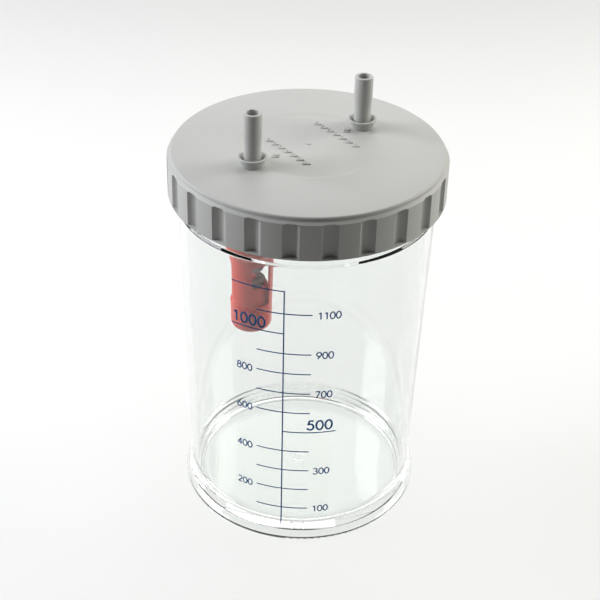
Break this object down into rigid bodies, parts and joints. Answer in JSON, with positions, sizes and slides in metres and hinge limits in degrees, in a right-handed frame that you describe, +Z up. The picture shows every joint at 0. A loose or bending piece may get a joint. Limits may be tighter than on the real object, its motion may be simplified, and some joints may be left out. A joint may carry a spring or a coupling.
{
  "type": "suction canister",
  "caption": "Clear graduated jar with a ribbed screw lid, hose spigots, and a hanging float valve that shuts off suction when the jar is full.",
  "frame": {"origin": "centre of the foot, on the surface the jar stands on", "axes": "+Z up along the jar's axis, -Y towards the printed scale; the patient spigot stands 48 degrees from +X towards +Y"},
  "size_m": [0.1254, 0.1254, 0.2063],
  "materials": {
    "clear_polycarbonate": "clear, polished mould",
    "grey_polypropylene": "satin, fine mould grain",
    "gasket_silicone": "matte",
    "red_polypropylene": "translucent, smooth",
    "float_polypropylene": "smooth",
    "seal_silicone": "matte"
  },
  "bodies": {
    "jar_body": {"jar": "clear_polycarbonate"},
    "seal_ring": {"lid_gasket": "gasket_silicone"},
    "lid_body": {"lid": "grey_polypropylene", "valve_cage": "red_polypropylene"},
    "float_body": {"valve_float": "float_polypropylene", "float_seal": "seal_silicone"}
  },
  "joints": [
    {"name": "lid_rise", "type": "slide", "parent": "jar_body", "child": "seal_ring", "axis": [0, 0, 1], "range_m": [0, 0.009]},
    {"name": "lid_turn", "type": "hinge", "parent": "seal_ring", "child": "lid_body", "pos_m": [0, 0, 0.17], "axis": [0, 0, 1], "range_deg": [0, 540]},
    {"name": "float_rise", "type": "slide", "parent": "lid_body", "child": "float_body", "axis": [0, 0, 1], "range_m": [0, 0.00525]}
  ],
  "couplings": [
    {"joint": "lid_rise", "follows": "lid_turn", "m_per_rad": 0.00095493}
  ]
}
